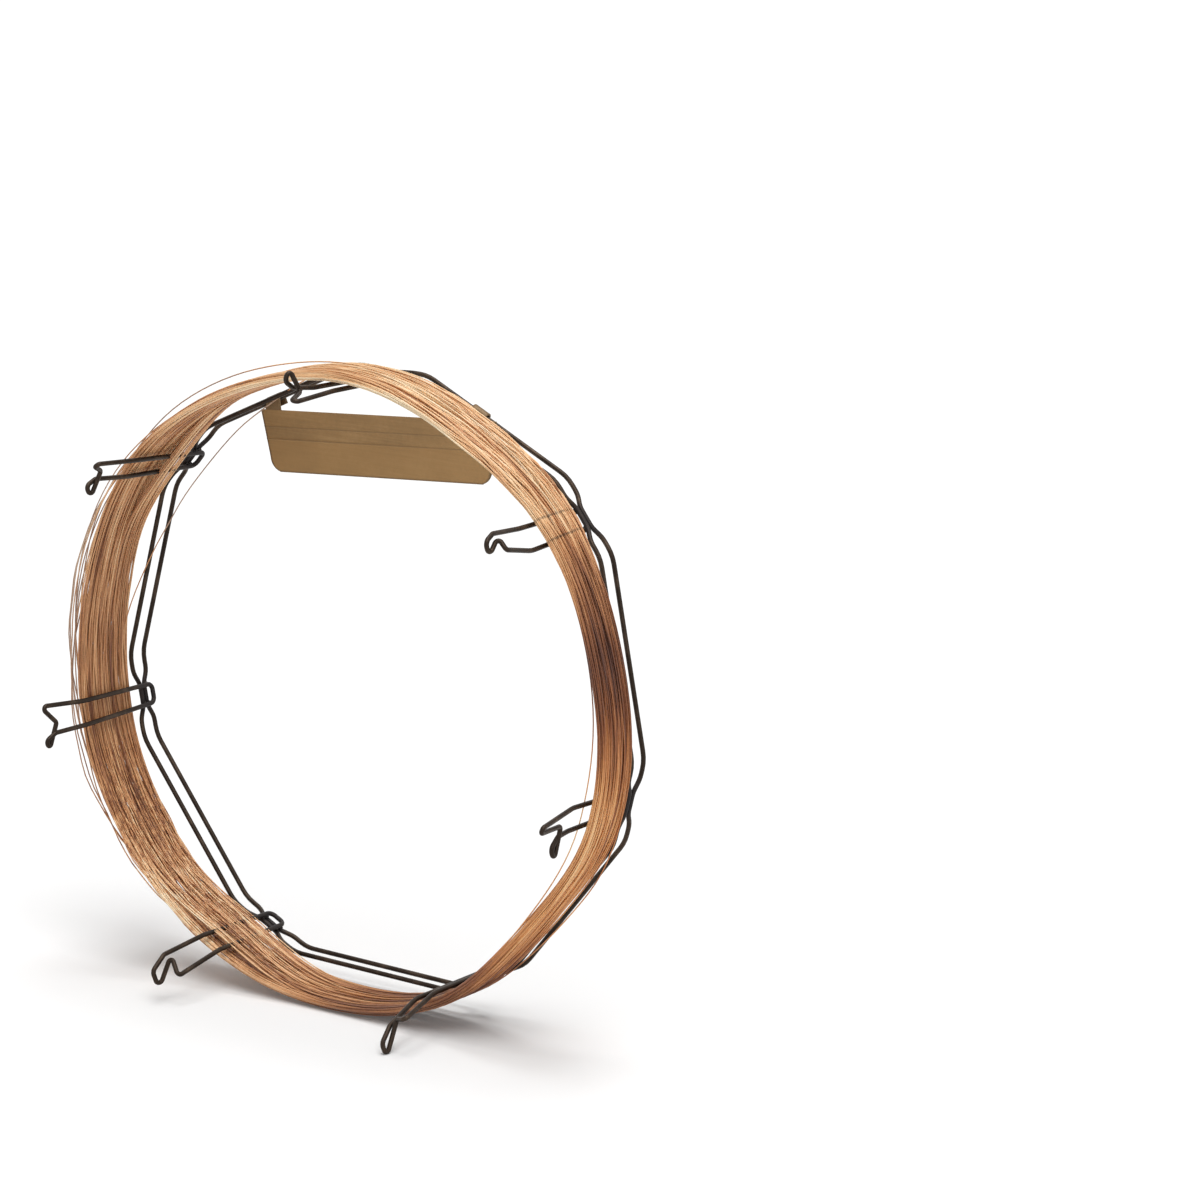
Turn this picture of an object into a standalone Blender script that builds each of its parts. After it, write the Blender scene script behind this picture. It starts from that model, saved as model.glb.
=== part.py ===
# Capillary column for gas chromatography: a coated glass capillary wound on a wire cage.
# The cage's axis runs along Y and its seven hairpin arms point to -Y.
# The column stands upright on its rim, as it would on a bench.

import bpy
import bmesh
from math import acos, cos, pi, radians, sin, tan
from mathutils import Vector

MM = 0.001

# Cage: two ring wires, pinched side by side where they cross an arm
STATIONS = 7
RING_RADIUS = 83.2 * MM
CAGE_ROLL = radians(-1.1)
WIRE_RADIUS = 0.65 * MM
RINGS_MIDDLE = -1.2 * MM
FLAT_HALF = 11.5 * MM
FLAT_BEND = 12.0 * MM
PINCH = 0.8 * MM
PINCH_HALF = 3.0 * MM
PINCH_BEND = 4.5 * MM
SPREAD = 2.65 * MM
SPREAD_HALF = 6.4 * MM
SPREAD_BEND = 5.5 * MM

# The cage is bent by hand: how far some stations lie outward and anticlockwise of their true places
STATION_SHIFTS = {
    0: (-1.7 * MM, 0.0),
    1: (-1.2 * MM, 1.2 * MM),
    5: (-1.3 * MM, -1.5 * MM),
    6: (-1.1 * MM, 1.2 * MM),
}

# Arms: each is one wire bent to a hairpin, with an eye on one leg's tip and a corner on the other's
ARM_GAP = 0.3 * MM
ARM_RADIUS = RING_RADIUS - 2 * WIRE_RADIUS - ARM_GAP
ARM_REAR = 0.9 * MM
ARM_HALF_REAR = 2.6 * MM
ARM_HALF_TIP = 3.2 * MM
ARM_BEND = 1.7 * MM
EYE_BEND = 1.7 * MM
EYE_REACH = 2.2 * MM
EYE_REACH_GAIN = 0.28
EYE_CROSSING = 1.9 * MM
PEAK = 0.8 * MM
PEAK_BACK = 0.2
CORNER_BEND = 0.9 * MM
SPLAY_START = 27.0 * MM
SPLAY_BEND = 12.0 * MM

# Arm tips: side of the eye (+1 is anticlockwise), eye leg, eye drop, corner leg and corner drop in mm,
# how steeply the legs splay outward in front of the winding, and how far in mm they lie outward of true
ARM_TIPS = {
    "arm_top": (1, 35.5, -4.3, 45.5, 3.4, 0.14, -1.2),
    "arm_upper_left": (1, 37.5, 4.6, 43.0, 0.4, 0.14, 0.0),
    "arm_left": (1, 38.0, 4.2, 42.0, -1.5, 0.14, 0.0),
    "arm_lower_left": (-1, 42.0, 7.6, 43.0, 1.6, 0.14, 0.0),
    "arm_lower_right": (-1, 40.0, 6.55, 41.5, -1.0, 0.30, 0.0),
    "arm_right": (-1, 32.2, 5.5, 52.0, 1.2, 0.14, 0.0),
    "arm_upper_right": (1, 40.0, 4.6, 39.5, -1.5, 0.14, 0.0),
}

# An eye's corners on its leg: shares of the eye's reach, of its crossing and of its drop
EYE_SHAPE = ((0.0, 0.0, 0.0), (1.0, 0.0, 0.4), (0.6, 0.3, 1.08))

# Winding: the capillary's turns lie round the outside of the arms
WINDING_OUTER = 84.5 * MM
WINDING_LOBE = 0.6 * MM
WINDING_THICK = 2.45 * MM
WINDING_REAR = -6.0 * MM
WINDING_FRONT = -25.0 * MM
CROWN = 0.4 * MM
CROWN_POWER = 6
INNER_RIDGE = 0.15 * MM
OUTER_RIDGE = 0.35 * MM
RIDGE_WANDER = 0.31 * MM
RIM_WANDER = 0.35 * MM
RIM_BULGE = 0.7
ROUND_STEPS = 84
FACE_POINTS = 19
RIM_POINTS = 3

# Waves in which a bundle of turns strays: share, waves more per turn, shift from bundle to bundle
WANDER_WAVES = ((0.6, 0, 2.4), (0.4, 3, 1.1))

# Where the turns bulge or lie tight: middle and half width in degrees, rise in mm
SLACK = ((217, 34, 2.0), (270, 40, 1.3), (320, 26, -1.6), (5, 24, 0.8), (97, 30, -1.2))

# Where the turns draw together on the right: middle and half width in degrees, rear and front rim in mm
NARROWINGS = ((5, 45, -2.2, 0.0), (320, 28, -2.2, 0.0), (25, 40, 0.0, 4.5), (340, 40, 0.0, 4.5))

# Tag plate: bare sheet hooked over the rear ring wire on both sides of the top arm
PLATE_TOP_WIDTH = 77.0 * MM
PLATE_BOTTOM_WIDTH = 72.5 * MM
PLATE_HEIGHT = 16.5 * MM
PLATE_THICK = 0.5 * MM
PLATE_CORNER = 4.0 * MM
PLATE_CORNER_STEPS = 6
PLATE_ROLL = radians(4.1)
TAB_HALF = 2.5 * MM
TAB_PLACES = (-34.5 * MM, 32.5 * MM)
HOOK_GAP = 0.25 * MM
HOOK_TAIL = 2.0 * MM
HOOK_STEPS = 6
HOOK_BEND = WIRE_RADIUS + HOOK_GAP + PLATE_THICK / 2
PLATE_MIDDLE = Vector((-2.5 * MM, RINGS_MIDDLE + SPREAD - HOOK_BEND, 69.2 * MM))

BEND_STEP = radians(27)
SMALLEST_BEND = radians(3)
BEND_SHARE = 0.48  # a bend takes up at most this share of a straight run


def material(name, colour, metallic, roughness):
    finish = bpy.data.materials.new(name)
    finish.use_nodes = True
    shader = finish.node_tree.nodes["Principled BSDF"]
    shader.inputs["Base Color"].default_value = (*colour, 1.0)
    shader.inputs["Metallic"].default_value = metallic
    shader.inputs["Roughness"].default_value = roughness
    return finish


def radial(angle):
    return Vector((cos(angle), 0.0, sin(angle)))


def tangent(angle):
    return Vector((-sin(angle), 0.0, cos(angle)))


def station_angle(index):
    return pi / 2 + CAGE_ROLL + index * 2 * pi / STATIONS


# A bent wire's closed centre line: corners joined by straight runs, each corner rounded to its bend
def bent_path(corners):
    points = []
    count = len(corners)
    for index, (corner, bend) in enumerate(corners):
        back = corners[index - 1][0] - corner
        ahead = corners[(index + 1) % count][0] - corner
        back_length = back.length
        ahead_length = ahead.length
        back.normalize()
        ahead.normalize()
        turn = pi - acos(max(-1.0, min(1.0, back.dot(ahead))))
        if turn < SMALLEST_BEND:
            points.append(corner)
            continue
        reach = min(bend * tan(turn / 2), BEND_SHARE * back_length, BEND_SHARE * ahead_length)
        steps = max(1, round(turn / BEND_STEP))
        start = corner + back * reach
        end = corner + ahead * reach
        weight = cos(turn / 2)
        for step in range(steps + 1):
            t = step / steps
            outer = (1 - t) ** 2
            middle = 2 * t * (1 - t) * weight
            inner = t ** 2
            points.append((start * outer + corner * middle + end * inner) / (outer + middle + inner))
    return points


def wire_object(name, path, finish):
    curve = bpy.data.curves.new(name, "CURVE")
    curve.dimensions = "3D"
    curve.bevel_depth = WIRE_RADIUS
    curve.bevel_resolution = 2
    curve.render_resolution_u = 0
    curve.use_fill_caps = True
    spline = curve.splines.new("POLY")
    spline.points.add(len(path) - 1)
    for point, place in zip(spline.points, path):
        point.co = (*place, 1.0)
    spline.use_cyclic_u = True
    wire = bpy.data.objects.new(name, curve)
    wire.data.materials.append(finish)
    bpy.context.collection.objects.link(wire)
    return wire


# How far a station lies off its true place
def station_shift(index):
    outward, sideways = STATION_SHIFTS.get(index % STATIONS, (0.0, 0.0))
    return radial(station_angle(index)) * outward + tangent(station_angle(index)) * sideways


# A point on the flat of a ring wire: along it from the station's middle, then off along Y
def flat_point(index, along, aside):
    angle = station_angle(index)
    middle = radial(angle) * RING_RADIUS + station_shift(index)
    return middle + tangent(angle) * along + Vector((0.0, aside, 0.0))


def ring_corners(side):
    pinched = RINGS_MIDDLE + side * PINCH
    spread = RINGS_MIDDLE + side * SPREAD
    half = ((PINCH_HALF, pinched, PINCH_BEND), (SPREAD_HALF, spread, SPREAD_BEND), (FLAT_HALF, spread, FLAT_BEND))
    corners = []
    for index in range(STATIONS):
        corners += [(flat_point(index, -along, aside), bend) for along, aside, bend in reversed(half)]
        corners += [(flat_point(index, along, aside), bend) for along, aside, bend in half]
    return corners


def make_rings(finish):
    for name, side in (("front_ring_wire", -1), ("rear_ring_wire", 1)):
        wire_object(name, bent_path(ring_corners(side)), finish)


# An arm's corners: its closed rear end goes with the ring wires, and its legs run to their own places
def arm_corners(index, tip):
    eye_side, eye_leg, eye_drop, corner_leg, corner_drop, splay, legs_out = tip
    angle = station_angle(index)
    sideways = tangent(angle) * eye_side

    def place(forward, across, down):
        outward = ARM_RADIUS + splay * max(0.0, forward - SPLAY_START)
        spot = radial(angle) * outward + sideways * across + Vector((0.0, -forward, -down))
        return spot + (station_shift(index) if forward < 0 else radial(angle) * legs_out * MM)

    eye_leg *= MM
    eye_drop *= MM
    corner_leg *= MM
    corner_drop *= MM
    reach = EYE_REACH + EYE_REACH_GAIN * abs(eye_drop)
    peak = -PEAK if eye_drop > 0 else PEAK
    eye = [(place(eye_leg + ahead * reach, ARM_HALF_TIP - aside * EYE_CROSSING, fall * eye_drop), EYE_BEND)
           for ahead, aside, fall in EYE_SHAPE]
    return [
        (place(-ARM_REAR, -ARM_HALF_REAR, 0.0), ARM_BEND),
        (place(-ARM_REAR, ARM_HALF_REAR, 0.0), ARM_BEND),
        (place(SPLAY_START, ARM_HALF_TIP, 0.0), SPLAY_BEND),
        *eye,
        (place(eye_leg - PEAK_BACK * reach, ARM_HALF_TIP - EYE_CROSSING, peak), CORNER_BEND),
        (place(corner_leg, -ARM_HALF_TIP, corner_drop), CORNER_BEND),
        (place(SPLAY_START, -ARM_HALF_TIP, 0.0), SPLAY_BEND),
    ]


def make_arms(finish):
    for index, (name, tip) in enumerate(ARM_TIPS.items()):
        wire_object(name, bent_path(arm_corners(index, tip)), finish)


# 1 at the middle of a stretch of the winding, falling smoothly to 0 at its ends
def swell(angle, middle, half_width):
    away = (angle - radians(middle) + pi) % (2 * pi) - pi
    reach = radians(half_width)
    return 0.5 + 0.5 * cos(pi * away / reach) if abs(away) < reach else 0.0


# Radius of the winding's outside: a little lobed over the arms, slack in places and tight in others
def winding_radius(angle):
    radius = WINDING_OUTER + WINDING_LOBE * cos(STATIONS * (angle - pi / 2))
    return radius + MM * sum(rise * swell(angle, middle, half) for middle, half, rise in SLACK)


# How far one bundle of turns strays sideways as it goes round
def wander(lane, angle):
    waves = 2 + (3 * lane) % 4
    return sum(share * sin((waves + more) * angle + shift * lane) for share, more, shift in WANDER_WAVES)


# Section through the turns at one angle: (distance along Y, distance from the axis)
def winding_section(angle):
    outside = winding_radius(angle)
    rear = WINDING_REAR - RIM_WANDER * (1 + sin(3 * angle))
    front = WINDING_FRONT - RIM_WANDER * sin(2 * angle + 1.0)
    for middle, half, rear_in, front_in in NARROWINGS:
        rear += MM * rear_in * swell(angle, middle, half)
        front += MM * front_in * swell(angle, middle, half)

    # The turns pile up in bundles: each odd lane is the ridge of one
    def face_point(lane, face):
        share = lane / (FACE_POINTS - 1)
        inside_lane = 0 < lane < FACE_POINTS - 1
        across = front + share * (rear - front)
        if inside_lane:
            across += RIDGE_WANDER * wander(lane + 5 * face, angle)
        ridge = OUTER_RIDGE if face else INNER_RIDGE
        height = WINDING_THICK / 2 - CROWN * (2 * share - 1) ** CROWN_POWER
        height += ridge if lane % 2 else -ridge
        return (across, outside - WINDING_THICK / 2 + height * (1 if face else -1))

    def rim_points(start, end, bulge):
        points = []
        for step in range(1, RIM_POINTS + 1):
            turn = pi * step / (RIM_POINTS + 1)
            middle = (start[1] + end[1]) / 2
            half = (start[1] - end[1]) / 2
            points.append((start[0] + bulge * abs(half) * sin(turn), middle + half * cos(turn)))
        return points

    outer = [face_point(lane, 1) for lane in range(FACE_POINTS)]
    inner = [face_point(lane, 0) for lane in range(FACE_POINTS)]
    rear_rim = rim_points(outer[-1], inner[-1], RIM_BULGE)
    front_rim = rim_points(inner[0], outer[0], -RIM_BULGE)
    return outer + rear_rim + inner[::-1] + front_rim


def make_winding(finish):
    mesh = bpy.data.meshes.new("capillary_winding")
    build = bmesh.new()
    rings = []
    for step in range(ROUND_STEPS):
        angle = -pi / 2 + (step + 0.5) * 2 * pi / ROUND_STEPS
        section = winding_section(angle)
        rings.append([build.verts.new(radial(angle) * away + Vector((0.0, along, 0.0)))
                      for along, away in section])
    for step in range(ROUND_STEPS):
        near = rings[step]
        far = rings[(step + 1) % ROUND_STEPS]
        for index in range(len(near)):
            following = (index + 1) % len(near)
            build.faces.new((near[index], near[following], far[following], far[index]))
    bmesh.ops.recalc_face_normals(build, faces=build.faces)
    build.to_mesh(mesh)
    build.free()
    mesh.shade_smooth()
    winding = bpy.data.objects.new("capillary_winding", mesh)
    winding.data.materials.append(finish)
    bpy.context.collection.objects.link(winding)


# A point of the plate's own plane, from its top edge's middle: along the edge, then down
def plate_place(along, down):
    edge = Vector((cos(PLATE_ROLL), 0.0, sin(PLATE_ROLL)))
    fall = Vector((sin(PLATE_ROLL), 0.0, -cos(PLATE_ROLL)))
    return PLATE_MIDDLE + edge * along + fall * down


def plate_outline():
    half_top = PLATE_TOP_WIDTH / 2
    half_bottom = PLATE_BOTTOM_WIDTH / 2
    points = [(-half_top, 0.0)]
    for side in (-1, 1):
        for step in range(PLATE_CORNER_STEPS + 1):
            turn = pi / 2 * step / PLATE_CORNER_STEPS
            if side > 0:
                turn = pi / 2 - turn
            reach = half_bottom - PLATE_CORNER * (1 - cos(turn))
            points.append((side * reach, PLATE_HEIGHT - PLATE_CORNER * (1 - sin(turn))))
    points.append((half_top, 0.0))
    for place in reversed(TAB_PLACES):
        points.append((place + TAB_HALF, 0.0))
        points.append((place - TAB_HALF, 0.0))
    return points


# The straight side of the rear ring wire that a tab hooks over, on the left or right of the top arm
def ring_side(left):
    aside = RINGS_MIDDLE + SPREAD
    if left:
        return flat_point(1, -FLAT_HALF, aside), flat_point(0, FLAT_HALF, aside)
    return flat_point(0, -FLAT_HALF, aside), flat_point(STATIONS - 1, FLAT_HALF, aside)


# Cross-sections of one tab: up to the ring wire, round it and down behind it
def hook_sections(place):
    root = plate_place(place, 0.0)
    start, end = ring_side(place < 0)
    along = (end - start).normalized()
    outward = Vector((-along.z, 0.0, along.x))
    wire = start + along * ((root.x - start.x) / along.x)
    sections = []
    for step in range(HOOK_STEPS + 1):
        turn = pi * step / HOOK_STEPS
        inward = Vector((0.0, cos(turn), 0.0)) - outward * sin(turn)
        sections.append((wire - inward * HOOK_BEND, inward))
    last, inward = sections[-1]
    sections.append((last - outward * HOOK_TAIL, inward))
    return [section_corners(middle, along * TAB_HALF, inward * PLATE_THICK / 2)
            for middle, inward in sections]


def section_corners(middle, half_width, half_thick):
    return [
        middle + half_width - half_thick,
        middle - half_width - half_thick,
        middle - half_width + half_thick,
        middle + half_width + half_thick,
    ]


def bridge(build, near, far):
    for index in range(len(near)):
        following = (index + 1) % len(near)
        build.faces.new((near[index], near[following], far[following], far[index]))


def make_plate(finish):
    build = bmesh.new()
    outline = plate_outline()
    sheet = Vector((0.0, PLATE_THICK / 2, 0.0))
    front = [build.verts.new(plate_place(*point) - sheet) for point in outline]
    back = [build.verts.new(plate_place(*point) + sheet) for point in outline]
    build.faces.new(front)
    build.faces.new(back[::-1])
    tab_starts = {len(outline) - 2 * (count + 1): place for count, place in enumerate(TAB_PLACES)}
    for index in range(len(outline)):
        following = (index + 1) % len(outline)
        root = [front[index], front[following], back[following], back[index]]
        if index not in tab_starts:
            build.faces.new(root)
            continue
        for corners in hook_sections(tab_starts[index]):
            section = [build.verts.new(corner) for corner in corners]
            bridge(build, root, section)
            root = section
        build.faces.new(root)
    bmesh.ops.recalc_face_normals(build, faces=build.faces)
    mesh = bpy.data.meshes.new("tag_plate")
    build.to_mesh(mesh)
    build.free()
    mesh.shade_smooth()
    mesh.set_sharp_from_angle(angle=radians(40))
    plate = bpy.data.objects.new("tag_plate", mesh)
    plate.data.materials.append(finish)
    bpy.context.collection.objects.link(plate)


# Puts the lowest point at z = 0 and the middle of the column's box over the origin
def stand_on_rim():
    bpy.context.view_layer.update()
    depsgraph = bpy.context.evaluated_depsgraph_get()
    low = [float("inf")] * 3
    high = [float("-inf")] * 3
    for piece in bpy.data.objects:
        evaluated = piece.evaluated_get(depsgraph)
        for vert in evaluated.to_mesh().vertices:
            low = [min(a, b) for a, b in zip(low, vert.co)]
            high = [max(a, b) for a, b in zip(high, vert.co)]
        evaluated.to_mesh_clear()
    shift = (-(low[0] + high[0]) / 2, -(low[1] + high[1]) / 2, -low[2])
    for piece in bpy.data.objects:
        piece.location = shift


for leftover in list(bpy.data.objects):
    bpy.data.objects.remove(leftover)

dark_wire = material("dark_wire", (0.045, 0.032, 0.023), 0.8, 0.42)
coated_glass = material("coated_glass", (0.40, 0.19, 0.08), 0.0, 0.32)
plate_metal = material("plate_metal", (0.22, 0.14, 0.06), 0.6, 0.45)

make_rings(dark_wire)
make_arms(dark_wire)
make_winding(coated_glass)
make_plate(plate_metal)
stand_on_rim()
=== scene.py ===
import random
from math import acos, cos, degrees, pi, radians, sin, tan

import bmesh
import bpy
import numpy as np
from mathutils import Matrix, Vector, noise


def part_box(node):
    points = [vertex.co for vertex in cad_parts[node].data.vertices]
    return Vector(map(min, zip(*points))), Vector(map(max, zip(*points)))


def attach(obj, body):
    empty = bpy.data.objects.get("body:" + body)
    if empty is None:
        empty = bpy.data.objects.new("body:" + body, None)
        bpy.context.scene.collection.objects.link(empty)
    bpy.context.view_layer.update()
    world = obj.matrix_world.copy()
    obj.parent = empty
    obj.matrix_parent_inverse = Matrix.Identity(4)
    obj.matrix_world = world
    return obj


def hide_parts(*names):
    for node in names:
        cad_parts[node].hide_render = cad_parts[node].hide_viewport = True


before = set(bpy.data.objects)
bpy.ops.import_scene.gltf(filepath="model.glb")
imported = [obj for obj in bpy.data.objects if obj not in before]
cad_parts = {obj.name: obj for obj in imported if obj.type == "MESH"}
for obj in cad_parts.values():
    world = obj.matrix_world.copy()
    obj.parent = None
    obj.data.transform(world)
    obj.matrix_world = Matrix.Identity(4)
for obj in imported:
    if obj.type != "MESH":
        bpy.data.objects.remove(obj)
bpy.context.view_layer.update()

mm = 0.001
bakeMap = "OFBake"  # name of the map laid out in rows for baking
bakeMargin = 0.06   # what each row of that map leaves free at its two sides


# One socket of a shader node. Arithmetic on it adds Math nodes.
class Wire:
    def __init__(self, finish, socket):
        self.finish = finish
        self.socket = socket

    def maths(self, operation, *others):
        values = dict(enumerate((self, *others)))
        return self.finish.node("ShaderNodeMath", {"operation": operation}, values)

    def mathsAfter(self, other, operation):
        return self.finish.node("ShaderNodeMath", {"operation": operation}, {0: other, 1: self})

    def __add__(self, other):
        return self.maths("ADD", other)

    def __radd__(self, other):
        return self.mathsAfter(other, "ADD")

    def __sub__(self, other):
        return self.maths("SUBTRACT", other)

    def __rsub__(self, other):
        return self.mathsAfter(other, "SUBTRACT")

    def __mul__(self, other):
        return self.maths("MULTIPLY", other)

    def __rmul__(self, other):
        return self.mathsAfter(other, "MULTIPLY")

    def __truediv__(self, other):
        return self.maths("DIVIDE", other)

    def __rtruediv__(self, other):
        return self.mathsAfter(other, "DIVIDE")


# The shader's sockets whose names aren't one word
socketNames = {
    "baseColor": "Base Color",
    "coatRoughness": "Coat Roughness",
    "coatWeight": "Coat Weight",
    "emissionColor": "Emission Color",
    "emissionStrength": "Emission Strength",
    "specular": "Specular IOR Level",
}


# The nodes of a material or world, with the few kinds that the finishes here are made of
class Finish:
    def __init__(self, owner, shader="Principled BSDF"):
        owner.use_nodes = True
        self.owner = owner
        self.tree = owner.node_tree
        self.shader = self.tree.nodes[shader]

    def socketOf(self, sockets, key):
        if isinstance(key, int):
            return sockets[key]
        for socket in sockets:
            if key in (socket.identifier, socket.name) and socket.enabled:
                return socket
        raise KeyError(key)

    def put(self, socket, value):
        if isinstance(value, Wire):
            self.tree.links.new(value.socket, socket)
        elif isinstance(value, tuple) and len(value) == 3 and len(socket.default_value) == 4:
            socket.default_value = (*value, 1.0)
        else:
            socket.default_value = value

    def node(self, kind, settings, values, output=0):
        made = self.tree.nodes.new(kind)
        for key, value in settings.items():
            if key == "stops":
                ramp = made.color_ramp.elements
                while len(ramp) < len(value):
                    ramp.new(0.5)
                for element, (place, colour) in zip(ramp, value):
                    element.position = place
                    element.color = (*colour, 1.0)
            else:
                setattr(made, key, value)
        for key, value in values.items():
            self.put(self.socketOf(made.inputs, key), value)
        return Wire(self, self.socketOf(made.outputs, output))

    def place(self):
        return self.node("ShaderNodeTexCoord", {}, {}, "Object")

    def mapped(self, name):
        return self.node("ShaderNodeUVMap", {"uv_map": name}, {})

    def stretched(self, vector, scale):
        return self.node("ShaderNodeVectorMath", {"operation": "MULTIPLY"}, {0: vector, 1: scale}, "Vector")

    def noise(self, vector, scale, detail=2.0, roughness=0.5):
        values = {"Vector": vector, "Scale": scale, "Detail": detail, "Roughness": roughness}
        return self.node("ShaderNodeTexNoise", {}, values, "Fac")

    def ramp(self, value, *stops):
        return self.node("ShaderNodeValToRGB", {"stops": stops}, {"Fac": value}, "Color")

    def step(self, value, low, high):
        values = {"Value": value, "From Min": low, "From Max": high}
        return self.node("ShaderNodeMapRange", {"interpolation_type": "SMOOTHSTEP"}, values, "Result")

    def mix(self, share, first, second, blend="MIX"):
        settings = {"data_type": "RGBA", "blend_type": blend}
        values = {"Factor_Float": share, "A_Color": first, "B_Color": second}
        return self.node("ShaderNodeMix", settings, values, "Result_Color")

    def bump(self, height, strength, distance):
        values = {"Height": height, "Strength": strength, "Distance": distance}
        return self.node("ShaderNodeBump", {}, values, "Normal")

    def apart(self, vector):
        return [self.node("ShaderNodeSeparateXYZ", {}, {"Vector": vector}, axis) for axis in "XYZ"]

    def wear(self, **values):
        for name, value in values.items():
            self.put(self.shader.inputs[socketNames.get(name, name.capitalize())], value)
        return self.owner


# The cage: ring wires pinched side by side where an arm crosses them
cage = {
    "stations": 7,
    "roll": radians(-1.1),
    "ringRadius": 83.2 * mm,
    "wireRadius": 0.65 * mm,
    "ringsMiddle": -1.2 * mm,
    "flat": (11.5 * mm, 12.0 * mm),     # how far along it, and its bend
    "pinch": (3.0 * mm, 4.5 * mm),
    "spread": (6.4 * mm, 5.5 * mm),
    "shifts": {  # bent by hand: how far in mm a station lies outward and anticlockwise of its true place
        0: (-1.7, 0.0),
        1: (-1.2, 1.2),
        5: (-1.3, -1.5),
        6: (-1.1, 1.2),
    },
    "pinchedApart": 0.8 * mm,
    "spreadApart": 2.65 * mm,
    "wireSides": 14,
    "bendStep": radians(9),
    "longestStep": 4.0 * mm,
    "bendShare": 0.48,
}


def radial(angle):
    return Vector((cos(angle), 0.0, sin(angle)))


def tangent(angle):
    return Vector((-sin(angle), 0.0, cos(angle)))


def stationAngle(index):
    return pi / 2 + cage["roll"] + index * 2 * pi / cage["stations"]


# A bent wire's closed line: each corner rounded to its bend, straight runs cut into short steps
def bentPath(corners):
    ends = []
    count = len(corners)
    for index, (corner, bend) in enumerate(corners):
        back = corners[index - 1][0] - corner
        ahead = corners[(index + 1) % count][0] - corner
        backLength = back.length
        aheadLength = ahead.length
        back.normalize()
        ahead.normalize()
        turn = pi - acos(max(-1.0, min(1.0, back.dot(ahead))))
        reach = min(bend * tan(turn / 2), cage["bendShare"] * backLength, cage["bendShare"] * aheadLength)
        steps = max(2, round(turn / cage["bendStep"]))
        start = corner + back * reach
        end = corner + ahead * reach
        weight = cos(turn / 2)
        arc = []
        for step in range(steps + 1):
            t = step / steps
            shares = ((1 - t) ** 2, 2 * t * (1 - t) * weight, t ** 2)
            arc.append((start * shares[0] + corner * shares[1] + end * shares[2]) / sum(shares))
        ends.append(arc)
    path = []
    for index, arc in enumerate(ends):
        path += arc
        gap = ends[(index + 1) % count][0] - arc[-1]
        pieces = int(gap.length / cage["longestStep"]) + 1
        path += [arc[-1] + gap * piece / pieces for piece in range(1, pieces)]
    return path


# Directions across a path at each of its points, turning as little as they can
def acrossPath(points, closed):
    count = len(points)
    if closed:
        along = np.roll(points, -1, 0) - np.roll(points, 1, 0)
    else:
        along = np.gradient(points, axis=0)
    along /= np.linalg.norm(along, axis=1)[:, None]
    side = np.zeros_like(points)
    first = np.cross(along[0], (0.3, 0.5, 0.8))
    side[0] = first / np.linalg.norm(first)
    for index in range(1, count):
        carried = side[index - 1] - along[index] * (side[index - 1] @ along[index])
        side[index] = carried / np.linalg.norm(carried)
    if closed:  # the turn left over at the end is shared out
        last = side[-1] - along[0] * (side[-1] @ along[0])
        last /= np.linalg.norm(last)
        over = np.arctan2(np.cross(side[0], last) @ along[0], side[0] @ last)
        turns = -over * np.arange(count) / count
        other = np.cross(along, side)
        side = side * np.cos(turns)[:, None] + other * np.sin(turns)[:, None]
    return side, np.cross(along, side)


# A tube along the points, with one map of metres run and share round, and one of rows for baking
def tube(name, points, radius, sides, finish, closed=True, across=None, runBefore=0.0):
    points = np.array(points, float)
    count = len(points)
    side, other = across or acrossPath(points, closed)
    turns = 2 * pi * np.arange(sides) / sides
    around = side[:, None] * np.cos(turns)[:, None] + other[:, None] * np.sin(turns)[:, None]
    verts = (points[:, None] + radius * around).reshape(-1, 3)
    runs = count if closed else count - 1
    near = np.repeat(np.arange(runs), sides)
    here = np.tile(np.arange(sides), runs)
    following = (here + 1) % sides
    nearFirst = near * sides
    farFirst = (near + 1) % count * sides
    corners = (nearFirst + here, nearFirst + following, farFirst + following, farFirst + here)
    caps = []
    if not closed:
        caps = [list(range(sides))[::-1], [(count - 1) * sides + corner for corner in range(sides)]]
    mesh = bpy.data.meshes.new(name)
    mesh.from_pydata(verts.tolist(), [], np.stack(corners, 1).tolist() + caps)
    steps = np.linalg.norm(np.roll(points, -1, 0) - points, axis=1)
    run = np.concatenate([[0.0], np.cumsum(steps)])
    nearRun = run[near]
    farRun = run[near + 1]
    lower = here / sides
    upper = (here + 1) / sides
    metresNear, metresFar = nearRun + runBefore, farRun + runBefore
    metres = [metresNear, lower, metresNear, upper, metresFar, upper, metresFar, lower]

    # the baking map cuts the length into rows that fill a square
    rows = max(1, round((run[-1] / (2 * pi * radius)) ** 0.5))
    perRow = -(-runs // rows)
    row = near // perRow
    rowStart = run[row * perRow]
    rowEnds = [run[min(runs, (index + 1) * perRow)] for index in range(row[-1] + 1)]
    rowLength = max(end - run[index * perRow] for index, end in enumerate(rowEnds))
    uNear = (nearRun - rowStart) / rowLength
    uFar = (farRun - rowStart) / rowLength
    vLower = (row + bakeMargin + (1 - 2 * bakeMargin) * lower) / rows
    vUpper = (row + bakeMargin + (1 - 2 * bakeMargin) * upper) / rows
    rowsLaid = [uNear, vLower, uNear, vUpper, uFar, vUpper, uFar, vLower]
    for mapName, values in (("run", metres), (bakeMap, rowsLaid)):
        layer = mesh.uv_layers.new(name=mapName)
        laid = np.stack(values, 1).reshape(-1, 2)
        laid = np.concatenate([laid, np.tile(laid[:1], (len(caps) * sides, 1))])
        layer.uv.foreach_set("vector", laid.astype(np.float32).ravel())
    mesh.shade_smooth()
    mesh.update()
    return linked(name, mesh, finish)


def linked(name, mesh, finish):
    piece = bpy.data.objects.new(name, mesh)
    piece.data.materials.append(finish)
    bpy.context.scene.collection.objects.link(piece)
    return piece


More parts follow.
